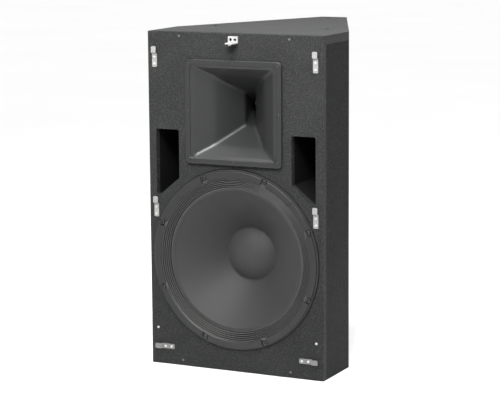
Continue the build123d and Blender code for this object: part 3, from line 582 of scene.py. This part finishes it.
rim, neck = (ROLL_OUTER, -0.0037), (ROLL_INNER, 0.0033)
roll_outline = wavy_outline(rim, neck, ROLLS, 0.0021, 0.0006, 0.0055, 0.0015)
roll_slices = sliced_ring("cone_roll", roll_outline, surround_cloth, "woofer_surround", 24)
spider_low, spider_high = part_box("woofer_spider")
spider_depth = (spider_low.y + spider_high.y) / 2 - FACE_Y
spider_outline = wavy_outline((0.081, spider_depth), (0.054, spider_depth), 5, 0.0016, 0.0005, 0.0195, 0.001)
spider_slices = sliced_ring("spider", spider_outline, spider_cloth, "woofer_spider", 16)
print(len(roll_slices), "slices of rolled cloth,", len(spider_slices), "slices of spider")

# %% [markdown]
# Glue lines on the cone
#
# The cloth runs on over the cone's edge and is glued down there, which leaves a band with a small step at
# its inner rim. A bead of glue also runs round the cap. Both ride with the cone.


# %% Bond band and cap bead
def cone_depth(radius):
    """Depth of the cone's wall at a radius, by a parabola through its foot, middle and neck."""
    known = ((0.1485, 0.004), (0.100, 0.0415), (0.051, 0.088))
    total = 0.0
    for i, (ri, di) in enumerate(known):
        share = di
        for j, (rj, _) in enumerate(known):
            if i != j:
                share *= (radius - rj) / (ri - rj)
        total += share
    return total


top_line = [(0.1548, 0.0028), (0.1515, 0.0024), (0.1490, 0.0029)]
top_line += [(0.1478, cone_depth(0.1478) - 0.0008)]
band = top_line + [(0.1466, cone_depth(0.1466) - 0.0001)]
band += [(0.1478, cone_depth(0.1478) + 0.0003)] + [(0.1490, 0.0042), (0.1548, 0.0042)]
bond = spun("bond_band", band, WOOFER_Z, cone_paper)
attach(bond, "cone_assembly")
bead_outline = []
for k in range(12):
    angle = 2 * math.pi * k / 12
    bead_outline.append((0.0574 + 0.0011 * math.cos(angle), 0.0798 + 0.0011 * math.sin(angle)))
bead = spun("cap_bead", bead_outline, WOOFER_Z, cap_paper)
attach(bead, "cone_assembly")
print("bond band reaches in to", min(r for r, _ in band), "m")

# %% [markdown]
# The horn
#
# The horn is one thin moulding: a square flange, four walls that fold in twice on the way to a tall slot,
# and a throat that turns round at the driver. The folds and the corners are all rounded, and those rounded
# ridges are what catch the light. It is built as a stack of rounded rectangles with matching points, joined
# in a loop from the flange's back, over its face, down the inside and back along the outside. Folding a
# subdivided box would be quicker, but it would leave the ridges' radius to chance.


# %% Rounded rectangles
def rounded_ring(half_w, half_h, radius, depth, z, corner=8, side=10):
    """Points round a rectangle with round corners, always the same number, from the right side's foot."""
    def on_arc(cx, cz, degrees):
        angle = math.radians(degrees)
        return Vector((cx + radius * math.cos(angle), FACE_Y + depth, z + cz + radius * math.sin(angle)))

    ring = []
    centres = [(half_w - radius, -half_h + radius, -90), (half_w - radius, half_h - radius, 0),
               (-half_w + radius, half_h - radius, 90), (-half_w + radius, -half_h + radius, 180)]
    for k, (cx, cz, start) in enumerate(centres):
        ring += [on_arc(cx, cz, start + 90 * step / corner) for step in range(corner + 1)]
        end, following = ring[-1], on_arc(*centres[(k + 1) % 4])
        ring += [end.lerp(following, step / side) for step in range(1, side)]
    return ring


def folded(depth, stops, spread):
    """A value that runs straight between stops of (depth, value), with each fold softened over spread."""
    def straight(at):
        for (d0, v0), (d1, v1) in zip(stops, stops[1:]):
            if at <= d1 or (d1, v1) == stops[-1]:
                return v0 + (v1 - v0) * (at - d0) / (d1 - d0)
    return sum(straight(depth + spread * k / 6) for k in range(-6, 7)) / 13


# %% Horn moulding
horn_low, horn_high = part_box("horn_flare")
HORN_Z = (horn_low.z + horn_high.z) / 2
proud = FACE_Y - horn_low.y
half_width, half_height = (horn_high.x - horn_low.x) / 2, (horn_high.z - horn_low.z) / 2
WIDE = [(-proud, 0.101), (0.021, 0.059), (0.079, 0.012), (0.126, 0.0175)]
TALL = [(-proud, 0.099), (0.021, 0.074), (0.079, 0.036), (0.126, 0.0175)]
SHADOW_GAP, GAP_HIGH = 0.0022, 0.0020
RIM_ROUND, LIP_ROUND, FLANGE_CORNER, MOUTH_CORNER, WALL = 0.0022, 0.0025, 0.009, 0.0065, 0.0045
foot_w, foot_h = half_width - SHADOW_GAP, half_height - SHADOW_GAP
stack = [(foot_w, foot_h, FLANGE_CORNER, depth) for depth in (0.0, -GAP_HIGH)]
side_depths = (-GAP_HIGH - 0.0003, -proud + RIM_ROUND)
stack += [(half_width, half_height, FLANGE_CORNER, depth) for depth in side_depths]
for k in range(1, 6):
    lean = math.radians(18 * k)
    drawn = RIM_ROUND * (1 - math.cos(lean))
    depth = -proud + RIM_ROUND * (1 - math.sin(lean))
    stack.append((half_width - drawn, half_height - drawn, FLANGE_CORNER, depth))
for k in range(0, 6):
    lean = math.radians(18 * k)
    drawn = LIP_ROUND * (1 - math.sin(lean))
    depth = -proud + LIP_ROUND * (1 - math.cos(lean))
    stack.append((WIDE[0][1] + drawn, TALL[0][1] + drawn, MOUTH_CORNER + drawn, depth))
inside_depths = [-proud + 0.0045 + 0.003 * k for k in range(39)] + [0.119, 0.122, 0.1245, 0.126]
for depth in inside_depths:
    spread = 0.005 if depth < 0.050 else 0.0015
    wide, tall = folded(depth, WIDE, spread), folded(depth, TALL, spread)
    turning = max(0.0, (depth - 0.082) / 0.044)
    corner = 0.0075 * (1 - turning) + 0.0175 * turning
    stack.append((max(wide, 0.0117), tall, min(corner, wide - 0.0005, tall - 0.0005), depth))
for depth in (0.126, 0.1175, 0.100, 0.079, 0.060, 0.040, 0.021, 0.008, 0.0):
    wide, tall = folded(depth, WIDE, 0.004) + WALL, folded(depth, TALL, 0.004) + WALL
    stack.append((min(wide, 0.0965), min(tall, 0.095), min(0.009, wide - 0.001), depth))
horn_verts = [v for w, h, r, d in stack for v in rounded_ring(w, h, r, d, HORN_Z)]
around = len(horn_verts) // len(stack)
horn_faces = []
for level in range(len(stack)):
    horn_faces += band_faces(level * around, (level + 1) % len(stack) * around, around)
horn = finish_mesh("horn_moulding", horn_verts, horn_faces, horn_plastic, 50)
print("horn moulding:", len(stack), "sections of", around, "points")


# %% Screw seats in the flange
def cut_seats(target, places, radius, low_depth, high_depth, around=24):
    """Cuts round seats into a piece; each is a short cylinder, taken away with a Boolean."""
    verts, faces = [], []
    for x, z in places:
        first = len(verts)
        for depth in (low_depth, high_depth):
            for k in range(around):
                angle = 2 * math.pi * k / around
                verts.append((x + radius * math.cos(angle), FACE_Y + depth, z + radius * math.sin(angle)))
        faces += band_faces(first, first + around, around)
        faces += [tuple(range(first, first + around)), tuple(range(first + around, first + 2 * around))]
    cutter = finish_mesh("seat_cutter", verts, faces, target.data.materials[0])
    cut = target.modifiers.new("seats", "BOOLEAN")
    cut.operation, cut.object, cut.solver = "DIFFERENCE", cutter, "EXACT"
    cut_mesh = bpy.data.meshes.new_from_object(target.evaluated_get(bpy.context.evaluated_depsgraph_get()))
    target.modifiers.clear()
    target.data = cut_mesh
    bpy.data.objects.remove(cutter)
    cut_mesh.shade_smooth()
    cut_mesh.set_sharp_from_angle(angle=math.radians(50))


screw_x, screw_z = 0.1038, 0.1016
seats = [(sx * screw_x, HORN_Z + sz * screw_z) for sx in (-1, 1) for sz in (-1, 1)]
seats += [(0.1066, HORN_Z), (-0.1066, HORN_Z), (0, HORN_Z + 0.1049), (0, HORN_Z - 0.1049)]
cut_seats(horn, seats, 0.0036, -proud - 0.002, -proud + 0.0012)
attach(horn, "cabinet")
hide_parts("horn_flare")
print("horn faces", len(horn.data.polygons))

# %% [markdown]
# Wadding pads
#
# Two pads of fibre wadding are stapled inside the angled walls. Wadding has no crisp edge, so the fitted
# block is remeshed into even small faces, smoothed until its corners slump, and pushed in and out by a slow
# noise, which costs less than a cloth simulation for a piece that hangs flat on a wall.


# %% Pads
def wadding_pad(name, side):
    source = nodes["lining_pads"].data
    shape = bmesh.new()
    shape.from_mesh(source)
    away = [v for v in shape.verts if v.co.x * side < 0]
    bmesh.ops.delete(shape, geom=away, context="VERTS")
    mesh = bpy.data.meshes.new(name)
    shape.to_mesh(mesh)
    shape.free()
    pad = bpy.data.objects.new(name, mesh)
    bpy.context.scene.collection.objects.link(pad)
    even = pad.modifiers.new("even_faces", "REMESH")
    even.mode, even.voxel_size = "VOXEL", 0.006
    slump = pad.modifiers.new("slump", "SMOOTH")
    slump.iterations, slump.factor = 10, 0.5
    soft = bpy.data.meshes.new_from_object(pad.evaluated_get(bpy.context.evaluated_depsgraph_get()))
    pad.modifiers.clear()
    pad.data = soft
    for vertex in soft.vertices:
        swell = noise.noise(vertex.co * 22) * 0.5 + noise.noise(vertex.co * 60) * 0.25
        vertex.co += vertex.normal * (swell * 0.003 - 0.0012)
    soft.materials.clear()
    soft.materials.append(wadding)
    soft.shade_smooth()
    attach(pad, "cabinet")
    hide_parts("lining_pads")
    return pad


pads = [wadding_pad("wadding_pad_left", -1), wadding_pad("wadding_pad_right", 1)]
print("pads", [len(p.data.polygons) for p in pads])

# %% [markdown]
# The floor
#
# A plain pale floor that runs out of the view on every side. It only has to be wide and even, so one flat
# sheet is enough, with a very faint cloud so that it does not look computed.

# %% Floor
floor_mesh = bpy.data.meshes.new("studio_floor")
reach = 60.0
floor_corners = [(-reach, -reach, 0), (reach, -reach, 0), (reach, reach, 0), (-reach, reach, 0)]
floor_mesh.from_pydata(floor_corners, [], [(0, 1, 2, 3)])
floor = bpy.data.objects.new("studio_floor", floor_mesh)
floor.location.z = -0.0005
bpy.context.scene.collection.objects.link(floor)
paper_floor = Finish("paper_floor", Specular_IOR_Level=0.2)
cloud = paper_floor.grain(0.8, 2.0)
pale = paper_floor.blend(cloud, grey(0.86), grey(0.9))
floor_mesh.materials.append(paper_floor.apply(pale, 0.7 + cloud * 0.1))
print("floor reaches", reach, "m")
